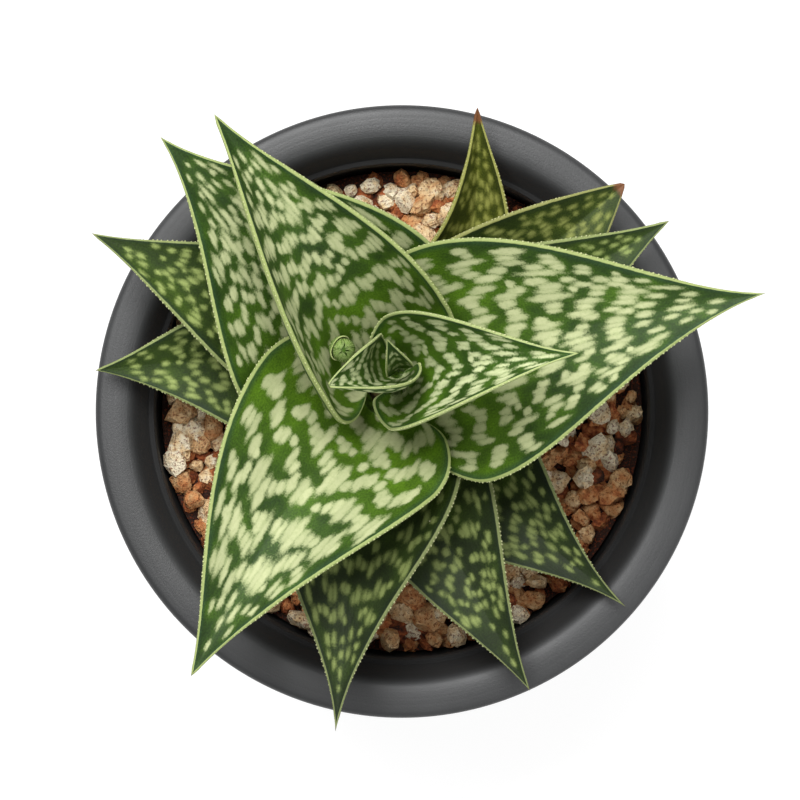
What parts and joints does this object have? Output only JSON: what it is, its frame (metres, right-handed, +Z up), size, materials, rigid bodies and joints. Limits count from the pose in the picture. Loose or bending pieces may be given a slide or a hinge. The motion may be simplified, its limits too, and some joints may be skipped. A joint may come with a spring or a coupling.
{
  "type": "potted succulent plant",
  "caption": "Tiger aloe with a rosette of thick folded leaves, in a round tapered plastic pot with soil and a layer of gravel.",
  "frame": {"origin": "middle of the pot's flat underside, on the pot's own axis", "axes": "+Z up along the pot's axis; +X towards the right and +Y towards the top of the picture, which looks straight down"},
  "size_m": [0.1271, 0.1204, 0.1508],
  "materials": {
    "pot_plastic": "matte moulded",
    "soil": "rough",
    "gravel": "rough",
    "stem": "rough",
    "leaf": "waxy satin",
    "flower_bud": "waxy satin"
  },
  "bodies": {
    "root": {"pot": "pot_plastic", "soil": "soil", "gravel": "gravel", "stem": "stem", "leaf_01": "leaf", "leaf_02": "leaf", "leaf_03": "leaf", "leaf_04": "leaf", "leaf_05": "leaf", "leaf_06": "leaf", "leaf_07": "leaf", "leaf_08": "leaf", "leaf_09": "leaf", "leaf_10": "leaf", "leaf_11": "leaf", "leaf_12": "leaf", "leaf_13": "leaf", "leaf_14": "leaf", "leaf_15": "leaf", "flower_bud": "flower_bud"}
  },
  "joints": []
}
